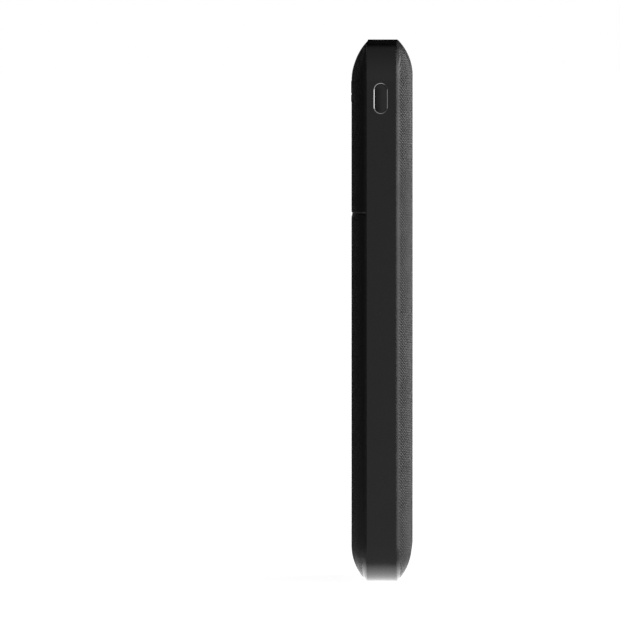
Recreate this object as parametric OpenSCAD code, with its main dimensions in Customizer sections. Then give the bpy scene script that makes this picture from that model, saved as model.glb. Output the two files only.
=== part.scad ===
// Slim pocket power bank with a USB-C port on one long edge and a power button on the other.
// Frame: X across the width (button side +X, port side -X), Y through the thickness
// (front face -Y, back face +Y), Z along the length. The origin is under the middle of the
// lower end face, which lies at Z = 0.

/* [Case] */
// Length of the case, lower end to upper end
case_l = 143; // [136:1:150]
// Width of the case
case_w = 68; // [66:1:74]
// Thickness of the case over both covers
case_t = 16; // [16:0.1:16.6]
// Plan radius of the case corners
corner_r = 10; // [10:0.5:14]
// Width of the flat band round the edge
band_w = 8; // [8:0.1:8.2]
// Wall thickness of the band
band_wall = 1.6; // [1.4:0.1:1.6]
// Chamfer on the outer edges of the band
band_chamfer = 0.25; // [0.1:0.05:0.3]

/* [Covers] */
// Wall thickness of both covers
cover_wall = 1.6; // [1.4:0.1:1.7]
// Radius of the pillowed edge seen in section
pillow_r = 13.5; // [13:0.1:14]
// How far the pillowed edge reaches in from the rim
pillow_run = 9.5; // [9:0.1:9.5]
// How far the rim of the front cover sits inside the band
front_inset = 0.4; // [0.2:0.1:0.4]
// How far the rim of the back cover sits inside the band
back_inset = 0.15; // [0.1:0.05:0.4]
// Thickness of the accent panel let into the front cover
panel_t = 0.9; // [0.8:0.1:1]
// Height of the groove under the accent panel
panel_z = 98.2; // [90:0.1:104]
// Left edge of the accent panel
panel_x = -16; // [-22:1:-8]
// Radius of the free corner of the accent panel
panel_r = 14; // [6:1:20]
// Width of the groove round the accent panel
groove_w = 1.2; // [0.6:0.1:1.6]
// Depth of the groove round the accent panel
groove_d = 0.55; // [0.3:0.05:0.7]

/* [Port and button] */
// Height of the middle of the USB-C port
port_z = 128.3; // [122:0.1:130]
// Offset of the port from the middle plane
port_y = -0.6; // [-0.8:0.1:-0.4]
// Height of the middle of the power button
button_z = 128.6; // [122:0.1:130]
// Offset of the button from the middle plane
button_y = -0.15; // [-0.4:0.05:0]
// Width of the button cap
button_w = 3; // [2.6:0.1:3.4]
// Length of the button cap
button_l = 7.5; // [6:0.1:9]
// Running gap round the button cap
button_gap = 0.1; // [0.08:0.01:0.15]
// Width of the bevel round the button opening
button_bevel = 0.24; // [0.1:0.01:0.3]
// Travel of the button
button_travel = 0.3; // [0.2:0.05:0.3]

/* [Charge lamps] */
// Middle of the lamp window across the width
window_x = 16; // [12:0.5:16.5]
// Height of the middle of the lamp window
window_z = 131.3; // [130.6:0.1:131.4]
// Length of the lamp window and the badge
window_l = 14; // [13:0.5:14.5]
// Width of the lamp window
window_w = 3.1; // [2.6:0.1:3.2]
// Width of the badge under the window
badge_w = 1.8; // [1.2:0.1:2]
// How far the window and the badge stand proud of the panel
proud = 0.1; // [0.05:0.01:0.15]

/* [Battery] */
// Width of each pouch cell
cell_w = 57; // [50:1:57]
// Length of the pouch of each cell
cell_l = 98; // [80:1:98]
// Thickness of each pouch cell
cell_t = 5.7; // [5:0.1:5.7]

/* [Hidden] */
$fn = 96;

// Case
half_w = case_w / 2;
half_l = case_l / 2;
half_band = band_w / 2;
cover_d = (case_t - band_w) / 2;
band_in_x = half_w - band_wall;

// Inner chassis and the skirts of the covers
chassis_wall = 2;
chassis_gap = 0.05;
chassis_off = band_wall + chassis_gap;
chassis_h = half_band - 0.05;
skirt_off = chassis_off + chassis_wall + 0.1;
skirt_t = 1;
skirt_drop = 1.2;
skirt_top = 1.7;
skirt_z0 = 14;
skirt_z1 = case_l - 39;
skirt_end_w = 36;
hook_l = 8;
hook_out = 0.35;
hook_h = 0.5;
hook_gap = 0.1;
hook_z = [26, 58, 90];

// Fits
panel_gap = 0.05;
fit_gap = 0.1;

// Board, its bay at the upper end, and its screws
board_t = 1;
board_y = 1;
board_x0 = -half_w + band_wall + 0.2;
board_x1 = half_w - 3.6;
board_z0 = case_l - 30.6;
board_z1 = case_l - 3.9;
board_corner_r = 6;
bay_z0 = board_z0 - 0.4;
bay_z1 = board_z1 + 0.2;
wall_z0 = board_z0 - 2;
wall_z1 = board_z0 - 0.7;
floor_y0 = 3;
floor_y1 = 3.9;
floor_z = case_l - corner_r;
floor_neck = 23;
cross_wall_y0 = -2.6;
overlap = 1;
boss_r = 2;
boss_y1 = 4.7;
screw_r = 0.8;
screw_head_r = 1.5;
screw_head_h = 0.8;
screw_len = 2.5;
screw_hole_r = 0.95;
pilot_r = 0.85;
screw_slot_l = 1.8;
screw_slot_w = 0.35;
screw_spots = [
    [-27, board_z0 + 3], [27, board_z0 + 3],
    [-18, board_z1 - 3], [16, board_z1 - 3]
];
insulator_t = 0.2;
insulator_w = 49;

// Power button and its switch
flange_t = 0.7;
flange_out = 0.65;
flange_x1 = band_in_x - fit_gap;
flange_x0 = flange_x1 - flange_t;
nub_r = 0.8;
nub_len = 0.55;
touch_gap = 0.02;
plunger_w = 2;
plunger_h = 1.1;
plunger_len = 1.6;
plunger_x1 = flange_x0 - nub_len - touch_gap;
plunger_x0 = plunger_x1 - plunger_len;
plunger_gap = 0.06;
plunger_out = 0.55;
plunger_y0 = button_y - plunger_h / 2;
plunger_y1 = button_y + plunger_h / 2;
switch_l = 4.7;
switch_y0 = button_y - 1;
switch_d = 3.5;
switch_x1 = plunger_x1 - plunger_out;
switch_x0 = switch_x1 - switch_d;
dome_r = 3;
dome_t = 0.12;
dome_room = 0.31;
dome_x1 = plunger_x0 - button_travel - touch_gap;
dome_x0 = dome_x1 - dome_room;
plate_t = 0.15;
plate_leg_y = 0.3;
guide_x0 = switch_x1 + 0.1;
guide_x1 = flange_x0 - button_travel - 0.05;
guide_half_l = 6;
guide_y0 = -3.4;
guide_y1 = 2.5;
guide_hole_w = 2.6;
guide_hole_h = 1.9;

// USB-C receptacle
usb_w = 8.94;
usb_h = 3.16;
usb_wall = 0.3;
usb_depth = 7.35;
usb_gap = 0.12;
usb_x0 = -half_w;
tongue_w = 6.69;
tongue_t = 0.7;
tongue_recess = 0.8;
usb_base_len = 2.2;
contact_n = 12;
contact_pitch = 0.5;
contact_w = 0.25;
contact_len = 3.4;
contact_t = 0.06;
usb_leg_w = 0.9;
usb_leg_t = 0.3;
usb_leg_x = [2.2, 5.9];
usb_leg_y1 = board_y + board_t + 0.3;
contact_start = 0.4;

// Cells, tape, pads and protection board
cell_z0 = 7.5;
cell_z1 = cell_z0 + cell_l;
cell_edge_r = 2.4;
tape_t = 0.3;
cell_y0 = tape_t / 2;
cell_y1 = cell_y0 + cell_t;
tape_margin = 6;
foam_gap = 0.02;
foam_y1 = case_t / 2 - cover_wall - foam_gap;
foam_w = 44;
foam_l = 78;
tab_w = 8;
tab_t = 0.15;
tab_rise = 1.5;
tab_x = [-15, 15];
tab_end_y = 0.6;
seal_w = 52;
seal_t = 0.3;
seal_l = 1;
pcm_w = 44;
pcm_h = 4.4;
pcm_t = 0.8;
pcm_z0 = cell_z1 + tab_rise;
pcm_z1 = pcm_z0 + pcm_t;
pcm_chip_x = [-14, 0, 14];
pcm_chip_w = 2.8;
pcm_chip_h = 0.9;
bead_x = 19;
bead_r = 0.7;
bead_l = 2;
bead_wire_r = 0.2;
bead_rise = 1.2;
lead_bare = 1;
lead_r = 0.65;
lead_core_r = 0.3;
lead_x = 7;
lead_y = board_y - lead_r - touch_gap;
lead_z1 = board_z0 + 4;

// Lamp window, badge, light pipe and charge lamps
lamp_n = 4;
lamp_pitch = 3.4;
lamp_x = [for (i = [0 : lamp_n - 1]) window_x + (i - (lamp_n - 1) / 2) * lamp_pitch];
lamp_r = 0.6;
lamp_hole_r = 0.65;
window_t = 0.55;
badge_t = 0.3;
badge_gap = 0.5;
badge_z = window_z - window_w / 2 - badge_gap - badge_w / 2;
inlay_r = 0.5;
inlay_gap = 0.05;
pipe_top_y = case_t / 2 + proud - window_t - inlay_gap;
pipe_bar_w = 2.4;
pipe_bar_t = 1;
pipe_bar_y = case_t / 2 - cover_wall - pipe_bar_t - fit_gap;
pipe_end_y = 0.1;
led_l = 1.6;
led_w = 0.8;
led_h = 0.6;

// Packages on the board: size across, along and off the board, then their places
controller_size = [5, 5, 0.85];
controller_spot = [-17, case_l - 22];
port_chip_size = [3.2, 3.2, 0.8];
port_chip_spot = [-21.5, case_l - 13.5];
mosfet_size = [3.3, 3.3, 0.9];
mosfet_spots = [for (i = [0 : 3]) [-14 + 4.5 * i, case_l - 11.8]];
ceramic_size = [1.25, 2, 1.25];
ceramic_spots = [
    for (i = [0 : 5]) [16.5, case_l - 26.4 + 2.4 * i],
    for (i = [0 : 4]) [-22.5 + 2.1 * i, case_l - 27.5]
];
resistor_size = [0.5, 1, 0.35];
resistor_spots = [for (i = [0 : 9]) [-10 + 2 * i, case_l - 8]];
lamp_resistor_off = 2;
can_spots = [for (x = [4, 10.5], z = [case_l - 22, case_l - 15.5]) [x, z]];

// Larger components
inductor_w = 7;
inductor_h = 4;
inductor_chamfer = 1;
inductor_spot = [-6, case_l - 19.5];
terminal_t = 0.2;
terminal_h = 1.2;
terminal_w = 3;
can_r = 2.5;
can_h = 5.4;
can_groove = 0.2;
can_groove_h = 1.2;

// Colours
charcoal = [0.09, 0.09, 0.095];
graphite = [0.16, 0.16, 0.165];
chassis_grey = [0.06, 0.06, 0.06];
steel = [0.72, 0.72, 0.74];
gold = [0.85, 0.68, 0.30];
board_green = [0.05, 0.24, 0.14];
package_black = [0.05, 0.05, 0.055];
pouch_silver = [0.70, 0.71, 0.73];
foam_grey = [0.25, 0.25, 0.26];
tan_ceramic = [0.62, 0.50, 0.36];

// ---- Helpers ----

// A box between two corners.
module span(low, high) translate(low) cube(high - low);

// Puts a shape drawn in plan (X, then length, then outward depth) on the front or the back.
module on_front() rotate([90, 0, 0]) children();
module on_back() mirror([0, 1, 0]) rotate([90, 0, 0]) children();

// A flat stadium in the X-Y plane, its length along Y.
module stadium(w, l) {
    square([w, l - w], center = true);
    for (side = [-1, 1]) translate([0, side * (l - w) / 2]) circle(d = w);
}

// A stadium prism along X between x0 and x1, its length along Z, about the line (y, z).
module stadium_x(w, l, x0, x1, y, z)
    translate([x0, y, z]) rotate([90, 0, 90]) linear_extrude(x1 - x0) stadium(w, l);

// A round bar along Y between y0 and y1.
module bar_y(r, x, z, y0, y1)
    translate([x, y0, z]) rotate([-90, 0, 0]) cylinder(h = y1 - y0, r = r);

// Carries a section round a rounded rectangle: the section's X runs outward from the corner
// centres, and its Y is the depth.
module sweep_round() {
    straight_w = case_w - 2 * corner_r;
    straight_l = case_l - 2 * corner_r;
    for (side = [0, 1]) {
        translate([0, half_l]) rotate([0, 0, 180 * side]) {
            translate([half_w - corner_r, straight_l / 2]) rotate([90, 0, 0])
                linear_extrude(straight_l) children();
            rotate([0, 0, 90]) translate([half_l - corner_r, straight_w / 2]) rotate([90, 0, 0])
                linear_extrude(straight_w) children();
            for (turn = [0, 1])
                mirror([turn, 0, 0]) translate([half_w - corner_r, straight_l / 2])
                    rotate_extrude(angle = 90) children();
        }
    }
}

// Section of a pillowed cover from the corner centres to its rim, with t taken off its face.
module pillow_section(inset, t) {
    reach = corner_r - inset;
    depth = cover_d - t;
    intersection() {
        square([reach, depth]);
        union() {
            square([reach - pillow_run, depth]);
            translate([reach - pillow_run, cover_d - pillow_r]) circle(pillow_r - t);
        }
    }
}

// The middle of a cover, inside the corner centres, between two depths.
module cover_middle(from, to)
    translate([corner_r - half_w, corner_r, from])
        cube([case_w - 2 * corner_r, case_l - 2 * corner_r, to - from]);

// The whole outer form of a cover, with t taken off its face, standing on the band's plane.
module cover_solid(inset, t) {
    sweep_round() pillow_section(inset, t);
    cover_middle(0, cover_d - t);
}

// The hollow cover without its skirt.
module cover_shell(inset) {
    sweep_round() difference() {
        pillow_section(inset, 0);
        pillow_section(inset, cover_wall);
    }
    cover_middle(cover_d - cover_wall, cover_d);
}

// The skirts that locate a cover inside the chassis: one along each side, one at the lower end.
module cover_skirt() {
    for (side = [0, 1])
        mirror([side, 0, 0]) span(
            [half_w - skirt_off - skirt_t, skirt_z0, -skirt_drop],
            [half_w - skirt_off, skirt_z1, skirt_top]);
    span([-skirt_end_w / 2, skirt_off, -skirt_drop], [skirt_end_w / 2, skirt_off + skirt_t, skirt_top]);
}

// Snap hooks on the outside of a skirt; grow widens them into the pockets that they enter.
module snap_hooks(grow) {
    for (side = [0, 1], z = hook_z)
        mirror([side, 0, 0])
            translate([half_w - skirt_off - grow / 2, z - hook_l / 2 - grow, -skirt_drop - grow])
                cube([hook_out + grow, hook_l + 2 * grow, hook_h + 2 * grow]);
}

// Plan of the accent panel, running past the case at the upper end and the button side.
module panel_plan(grow) {
    past_x = half_w + 1;
    past_z = case_l + 1;
    corner_x = panel_x + panel_r;
    corner_z = panel_z + panel_r;
    translate([corner_x, panel_z - grow]) square([past_x - corner_x, past_z - panel_z + grow]);
    translate([panel_x - grow, corner_z]) square([panel_r + grow, past_z - corner_z]);
    translate([corner_x, corner_z]) circle(panel_r + grow);
}

// What is cut from the front cover inside that plan, down to depth t.
module panel_recess(grow, t) {
    difference() {
        linear_extrude(cover_d + 1) panel_plan(grow);
        cover_solid(front_inset, t);
    }
}

// The holes for the light pipe through the front.
module lamp_holes() {
    for (x = lamp_x) bar_y(lamp_hole_r, x, window_z, -case_t / 2 - overlap, -half_band);
}

// A thin plate with rounded corners let into the front, standing proud of it.
module inlay(z, w, t, grow) {
    side = [window_l - 2 * inlay_r, w - 2 * inlay_r];
    translate([window_x, grow - case_t / 2 - proud + t, z]) rotate([90, 0, 0])
        linear_extrude(t + grow) offset_square(side, inlay_r + grow);
}

// A rectangle grown outward by r, with round corners.
module offset_square(side, r) {
    square([side[0] + 2 * r, side[1]], center = true);
    square([side[0], side[1] + 2 * r], center = true);
    for (x = [-1, 1], y = [-1, 1]) translate([x * side[0], y * side[1]] / 2) circle(r);
}

// ---- Case ----

module mid_frame() {
    inner = corner_r - band_wall;
    color(graphite) difference() {
        on_front() sweep_round() polygon([
            [inner, -half_band], [corner_r - band_chamfer, -half_band],
            [corner_r, band_chamfer - half_band], [corner_r, half_band - band_chamfer],
            [corner_r - band_chamfer, half_band], [inner, half_band]
        ]);
        stadium_x(button_w + 2 * button_gap, button_l + 2 * button_gap,
            band_in_x - 1, half_w + 1, button_y, button_z);
        button_flare();
        stadium_port(usb_gap, -half_w - 1, -band_in_x + 1);
    }
}

// The bevel round the mouth of the button opening, run on past the band at the same slope.
module button_flare() {
    straight = button_l - button_w;
    small = button_w / 2 + button_gap;
    rise = button_bevel + overlap;
    large = small + rise;
    translate([half_w - button_bevel, button_y, button_z]) rotate([0, 90, 0]) {
        for (side = [-1, 1])
            translate([side * straight / 2, 0, 0]) cylinder(h = rise, r1 = small, r2 = large);
        translate([-straight / 2, 0, 0]) rotate([90, 0, 90]) linear_extrude(straight)
            polygon([[-small, 0], [small, 0], [large, rise], [-large, rise]]);
    }
}

// A stadium prism along X at the port, the size of the receptacle and grown by a gap.
module stadium_port(grow, x0, x1)
    stadium_x(usb_h + 2 * grow, usb_w + 2 * grow, x0, x1, port_y, port_z);

module inner_chassis() {
    wide = band_in_x - overlap;
    color(chassis_grey) {
        difference() {
            union() {
                on_front() sweep_round()
                    translate([corner_r - chassis_off - chassis_wall, -chassis_h])
                        square([chassis_wall, 2 * chassis_h]);
                span([-wide, cross_wall_y0, wall_z0], [wide, floor_y1, wall_z1]);
                span([-wide, floor_y0, wall_z0], [wide, floor_y1, floor_z]);
                span([-floor_neck, floor_y0, wall_z0], [floor_neck, floor_y1, bay_z1 + overlap]);
                for (s = screw_spots) bar_y(boss_r, s[0], s[1], board_y + board_t, boss_y1);
            }
            board_bay();
            flange_room();
            usb_legs(fit_gap);
            on_front() translate([0, 0, half_band]) snap_hooks(hook_gap);
            on_back() translate([0, 0, half_band]) snap_hooks(hook_gap);
            for (side = [-1, 1]) lead_notch(side * lead_x);
            for (s = screw_spots) bar_y(pilot_r, s[0], s[1], 0, boss_y1 + overlap);
        }
        button_guide();
    }
}

// The space for the board, open to the port, the button and the front.
module board_bay()
    span([-half_w, -half_band - overlap, bay_z0], [half_w, board_y + board_t, bay_z1]);

// The space that the button's flange moves in, behind the band.
module flange_room() {
    room_y = button_w / 2 + flange_out + fit_gap;
    room_z = button_l / 2 + flange_out + fit_gap;
    span([guide_x1, button_y - room_y, button_z - room_z], [half_w, button_y + room_y, button_z + room_z]);
}

// The way for one battery lead through the wall between the cells and the board.
module lead_notch(x)
    span([x - lead_r - fit_gap, lead_y - lead_r - fit_gap, wall_z0 - overlap],
        [x + lead_r + fit_gap, lead_y + lead_r + fit_gap, wall_z1 + overlap]);

// The bracket behind the button that stops its travel and lets its nub reach the switch.
module button_guide() {
    difference() {
        span([guide_x0, guide_y0, button_z - guide_half_l], [guide_x1, guide_y1, button_z + guide_half_l]);
        span([guide_x0 - overlap, button_y - guide_hole_h / 2, button_z - guide_hole_w / 2],
            [guide_x1 + overlap, button_y + guide_hole_h / 2, button_z + guide_hole_w / 2]);
    }
}

module front_cover() {
    color(charcoal) difference() {
        on_front() translate([0, 0, half_band]) difference() {
            union() {
                cover_shell(front_inset);
                cover_skirt();
                snap_hooks(0);
            }
            panel_recess(panel_gap, panel_t + panel_gap);
            panel_recess(groove_w, groove_d);
        }
        lamp_holes();
    }
}

module front_accent_panel() {
    color(charcoal) difference() {
        on_front() translate([0, 0, half_band]) difference() {
            intersection() {
                cover_solid(front_inset, 0);
                linear_extrude(cover_d + 1) panel_plan(0);
            }
            cover_solid(front_inset, panel_t);
        }
        lamp_holes();
        inlay(window_z, window_w, window_t, inlay_gap);
        inlay(badge_z, badge_w, badge_t, inlay_gap);
    }
}

module lamp_window() color("dimgray") inlay(window_z, window_w, window_t, 0);

module badge_plate() color(package_black) inlay(badge_z, badge_w, badge_t, 0);

module back_cover() {
    color(charcoal) on_back() translate([0, 0, half_band]) {
        cover_shell(back_inset);
        cover_skirt();
        snap_hooks(0);
    }
}

// ---- Power button and switch ----

module power_button() {
    color(graphite) {
        stadium_x(button_w, button_l, flange_x0, half_w, button_y, button_z);
        stadium_x(button_w + 2 * flange_out, button_l + 2 * flange_out,
            flange_x0, flange_x1, button_y, button_z);
        translate([flange_x0 - nub_len, button_y, button_z]) rotate([0, 90, 0])
            cylinder(h = nub_len + flange_t, r = nub_r);
    }
}

module switch_body() {
    color(package_black) difference() {
        span([switch_x0, switch_y0, button_z - switch_l / 2],
            [switch_x1, board_y - touch_gap, button_z + switch_l / 2]);
        span([dome_x0, plunger_y0 - plunger_gap, button_z - plunger_w / 2 - plunger_gap],
            [switch_x1 + overlap, plunger_y1 + plunger_gap, button_z + plunger_w / 2 + plunger_gap]);
    }
}

module switch_cover_plate() {
    side_z = switch_l / 2;
    color(steel) {
        span([switch_x0, switch_y0 - plate_t, button_z - side_z - plate_t],
            [switch_x1, switch_y0, button_z + side_z + plate_t]);
        for (z = [button_z - side_z - plate_t, button_z + side_z])
            span([switch_x0, switch_y0 - plate_t, z], [switch_x1, plate_leg_y, z + plate_t]);
    }
}

module switch_plunger() {
    color(foam_grey) span(
        [plunger_x0, plunger_y0, button_z - plunger_w / 2],
        [plunger_x1, plunger_y1, button_z + plunger_w / 2]);
}

// The bowed spring strip at the bottom of the switch, drawn pressed.
module switch_dome() {
    color(steel) translate([dome_x1 - dome_r, plunger_y1, button_z]) rotate([90, 0, 0])
        linear_extrude(plunger_h) intersection() {
            difference() {
                circle(dome_r);
                circle(dome_r - dome_t);
            }
            translate([0, -plunger_w / 2]) square([dome_r, plunger_w]);
        }
}

// ---- Board ----

module main_board() {
    color(board_green) difference() {
        translate([0, board_y + board_t, 0]) rotate([90, 0, 0]) linear_extrude(board_t) board_plan();
        for (s = screw_spots) bar_y(screw_hole_r, s[0], s[1], 0, board_y + board_t + overlap);
        usb_legs(fit_gap);
    }
}

// Plan of the board: a rectangle with its two upper corners rounded.
module board_plan() {
    round_z = board_z1 - board_corner_r;
    translate([board_x0, board_z0]) square([board_x1 - board_x0, round_z - board_z0]);
    translate([board_x0 + board_corner_r, board_z0])
        square([board_x1 - board_x0 - 2 * board_corner_r, board_z1 - board_z0]);
    for (x = [board_x0 + board_corner_r, board_x1 - board_corner_r])
        translate([x, round_z]) circle(board_corner_r);
}

module board_insulator() {
    color(tan_ceramic) span(
        [-insulator_w / 2, floor_y0 - insulator_t, bay_z0],
        [insulator_w / 2, floor_y0, floor_z]);
}

module board_screws() {
    color(steel) for (s = screw_spots) {
        bar_y(screw_r, s[0], s[1], board_y - screw_head_h / 2, board_y + screw_len);
        difference() {
            bar_y(screw_head_r, s[0], s[1], board_y - screw_head_h, board_y);
            for (turn = [0, 90])
                translate([s[0], board_y - screw_head_h, s[1]]) rotate([0, turn, 0])
                    cube([screw_slot_l, screw_head_h, screw_slot_w], center = true);
        }
    }
}

// A row of equal packages standing on the front of the board, each at [x, z].
module packages(size, spots) {
    for (s = spots)
        span([s[0] - size[0] / 2, board_y - size[2], s[1] - size[1] / 2],
            [s[0] + size[0] / 2, board_y, s[1] + size[1] / 2]);
}

module charge_controller() color(package_black) packages(controller_size, [controller_spot]);

module port_controller() color(package_black) packages(port_chip_size, [port_chip_spot]);

module power_mosfets() color(package_black) packages(mosfet_size, mosfet_spots);

module power_inductor() {
    color(foam_grey) difference() {
        packages([inductor_w, inductor_w, inductor_h], [inductor_spot]);
        for (turn = [0 : 90 : 270])
            translate([inductor_spot[0], 0, inductor_spot[1]]) rotate([0, turn, 0])
                translate([inductor_w / 2, -inductor_h, inductor_w / 2]) rotate([0, 45, 0])
                    cube([inductor_chamfer, 4 * inductor_h, inductor_chamfer], center = true);
    }
}

module inductor_terminals() {
    color(steel) for (side = [-1, 1]) {
        x = inductor_spot[0] + side * (inductor_w + terminal_t) / 2;
        span([x - terminal_t / 2, board_y - terminal_h, inductor_spot[1] - terminal_w / 2],
            [x + terminal_t / 2, board_y, inductor_spot[1] + terminal_w / 2]);
    }
}

module polymer_capacitors() {
    color(steel) for (s = can_spots)
        difference() {
            bar_y(can_r, s[0], s[1], board_y - can_h, board_y);
            translate([s[0], board_y - can_groove_h, s[1]]) rotate([-90, 0, 0])
                rotate_extrude() translate([can_r, 0]) square(2 * can_groove, center = true);
        }
}

module ceramic_capacitors() color(tan_ceramic) packages(ceramic_size, ceramic_spots);

module chip_resistors() {
    color(package_black) {
        packages(resistor_size, resistor_spots);
        packages(resistor_size, [for (x = lamp_x) [x, window_z + lamp_resistor_off]]);
    }
}

module led_chips()
    color("white") packages([led_l, led_w, led_h], [for (x = lamp_x) [x, window_z]]);

module light_pipe() {
    color("ghostwhite") {
        for (x = lamp_x) bar_y(lamp_r, x, window_z, -pipe_top_y, pipe_end_y);
        span([lamp_x[0] - pipe_bar_w / 2, -pipe_bar_y - pipe_bar_t, window_z - pipe_bar_w / 2],
            [lamp_x[lamp_n - 1] + pipe_bar_w / 2, -pipe_bar_y, window_z + pipe_bar_w / 2]);
    }
}

// ---- USB-C receptacle ----

module usb_c_shell() {
    color(steel) {
        difference() {
            stadium_port(0, usb_x0, usb_x0 + usb_depth);
            stadium_port(-usb_wall, usb_x0 - overlap, usb_x0 + usb_depth + overlap);
        }
        usb_legs(0);
    }
}

// The solder legs of the receptacle, grown by a gap for their slots in the board.
module usb_legs(grow) {
    for (x = usb_leg_x, side = [-1, 1]) {
        z = port_z + side * (usb_w - usb_leg_t) / 2;
        span([usb_x0 + x - grow, port_y, z - usb_leg_t / 2 - grow],
            [usb_x0 + x + usb_leg_w + grow, usb_leg_y1 + grow, z + usb_leg_t / 2 + grow]);
    }
}

module usb_c_tongue() {
    base_x = usb_x0 + usb_depth - usb_base_len;
    color(package_black) {
        stadium_port(-usb_wall - touch_gap, base_x, usb_x0 + usb_depth);
        span([usb_x0 + tongue_recess, port_y - tongue_t / 2, port_z - tongue_w / 2],
            [base_x + overlap, port_y + tongue_t / 2, port_z + tongue_w / 2]);
    }
}

module usb_c_contacts() {
    x0 = usb_x0 + tongue_recess + contact_start;
    color(gold) for (face = [-1, 1], i = [0 : contact_n - 1]) {
        z = port_z + (i - (contact_n - 1) / 2) * contact_pitch;
        y = port_y + face * (tongue_t + contact_t) / 2;
        span([x0, y - contact_t / 2, z - contact_w / 2],
            [x0 + contact_len, y + contact_t / 2, z + contact_w / 2]);
    }
}

// ---- Battery ----

// One pouch cell with rounded long edges and the seal at its upper end; side is -1 or 1 in Y.
module pouch_cell(side) {
    mid_y = side * (cell_y0 + cell_y1) / 2;
    color(pouch_silver) {
        translate([0, mid_y, cell_z0]) linear_extrude(cell_l) {
            square([cell_w - 2 * cell_edge_r, cell_t], center = true);
            square([cell_w, cell_t - 2 * cell_edge_r], center = true);
            for (x = [-1, 1], y = [-1, 1])
                translate([x * (cell_w / 2 - cell_edge_r), y * (cell_t / 2 - cell_edge_r)])
                    circle(cell_edge_r);
        }
        span([-seal_w / 2, mid_y - seal_t / 2, cell_z1 - overlap],
            [seal_w / 2, mid_y + seal_t / 2, cell_z1 + seal_l]);
    }
}

module front_cell() pouch_cell(-1);

module back_cell() pouch_cell(1);

module cell_tape() {
    tape_x = cell_w / 2 - tape_margin;
    color(foam_grey)
        span([-tape_x, -cell_y0, cell_z0 + tape_margin], [tape_x, cell_y0, cell_z1 - tape_margin]);
}

// The welded tabs, each bent from its cell's seal to the underside of the protection board.
module cell_tabs() {
    mid_y = (cell_y0 + cell_y1) / 2;
    color(steel) for (side = [0, 1], x = tab_x) mirror([0, side, 0]) {
        outer_y = mid_y + tab_t / 2;
        span([x - tab_w / 2, outer_y - tab_t, cell_z1 + seal_l], [x + tab_w / 2, outer_y, pcm_z0]);
        span([x - tab_w / 2, tab_end_y, pcm_z0 - tab_t], [x + tab_w / 2, outer_y, pcm_z0]);
    }
}

// A foam pad between one cell and the cover next to it; side is -1 or 1 in Y.
module foam_pad(side) {
    low_z = (cell_z0 + cell_z1 - foam_l) / 2;
    color(foam_grey) mirror([0, side < 0 ? 1 : 0, 0])
        span([-foam_w / 2, cell_y1, low_z], [foam_w / 2, foam_y1, low_z + foam_l]);
}

module front_foam_pad() foam_pad(-1);

module back_foam_pad() foam_pad(1);

module protection_board()
    color(board_green) span([-pcm_w / 2, -pcm_h / 2, pcm_z0], [pcm_w / 2, pcm_h / 2, pcm_z1]);

module protection_chips() {
    half = pcm_chip_w / 2;
    color(package_black) for (x = pcm_chip_x)
        span([x - half, -half, pcm_z1], [x + half, half, pcm_z1 + pcm_chip_h]);
}

// The temperature sensor, a bead that stands on two wires soldered to the protection board.
module thermistor() {
    color(tan_ceramic) translate([bead_x, 0, pcm_z1 + bead_rise]) rotate([0, 90, 0])
        cylinder(h = bead_l, r = bead_r, center = true);
    color(steel) for (side = [-1, 1])
        translate([bead_x + side * bead_l / 4, 0, pcm_z1]) cylinder(h = bead_rise, r = bead_wire_r);
}

// One battery lead: an insulated wire with bare ends at both boards.
module battery_lead(x) {
    translate([x, lead_y, pcm_z1]) cylinder(h = lead_z1 - pcm_z1, r = lead_core_r);
    translate([x, lead_y, pcm_z1 + lead_bare]) cylinder(h = lead_z1 - pcm_z1 - 2 * lead_bare, r = lead_r);
}

module battery_lead_red() color("firebrick") battery_lead(-lead_x);

module battery_lead_black() color(package_black) battery_lead(lead_x);

mid_frame();
inner_chassis();
front_cover();
front_accent_panel();
lamp_window();
badge_plate();
back_cover();
power_button();
switch_body();
switch_cover_plate();
switch_plunger();
switch_dome();
main_board();
board_insulator();
board_screws();
charge_controller();
port_controller();
power_mosfets();
power_inductor();
inductor_terminals();
polymer_capacitors();
ceramic_capacitors();
chip_resistors();
led_chips();
light_pipe();
usb_c_shell();
usb_c_tongue();
usb_c_contacts();
front_cell();
back_cell();
cell_tape();
cell_tabs();
front_foam_pad();
back_foam_pad();
protection_board();
protection_chips();
thermistor();
battery_lead_red();
battery_lead_black();
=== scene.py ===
"""A slim power bank standing on end: detailed covers, band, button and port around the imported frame.

Lengths in the functions below are in millimetres; build() turns them into metres. The plan of the
case lies in X and Z, and depth is measured outward from the band's edge, towards -Y on the front
(side -1) and +Y on the back (side +1).
"""

import math

import bmesh
import bpy
import numpy as np
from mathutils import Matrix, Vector


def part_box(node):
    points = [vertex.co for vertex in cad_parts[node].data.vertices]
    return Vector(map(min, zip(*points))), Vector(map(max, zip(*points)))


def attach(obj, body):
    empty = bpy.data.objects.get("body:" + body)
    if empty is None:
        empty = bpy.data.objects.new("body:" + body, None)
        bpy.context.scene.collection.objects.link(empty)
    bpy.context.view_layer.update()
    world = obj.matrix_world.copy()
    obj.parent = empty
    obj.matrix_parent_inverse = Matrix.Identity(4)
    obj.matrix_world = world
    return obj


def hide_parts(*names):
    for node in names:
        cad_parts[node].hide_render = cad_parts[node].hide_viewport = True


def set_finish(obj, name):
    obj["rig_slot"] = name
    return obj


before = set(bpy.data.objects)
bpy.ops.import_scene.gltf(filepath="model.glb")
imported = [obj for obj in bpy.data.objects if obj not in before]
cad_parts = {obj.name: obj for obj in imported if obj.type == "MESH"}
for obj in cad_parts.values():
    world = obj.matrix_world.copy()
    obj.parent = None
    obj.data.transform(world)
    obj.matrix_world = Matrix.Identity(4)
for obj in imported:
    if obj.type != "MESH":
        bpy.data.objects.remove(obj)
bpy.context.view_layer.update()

MM = 0.001


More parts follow.
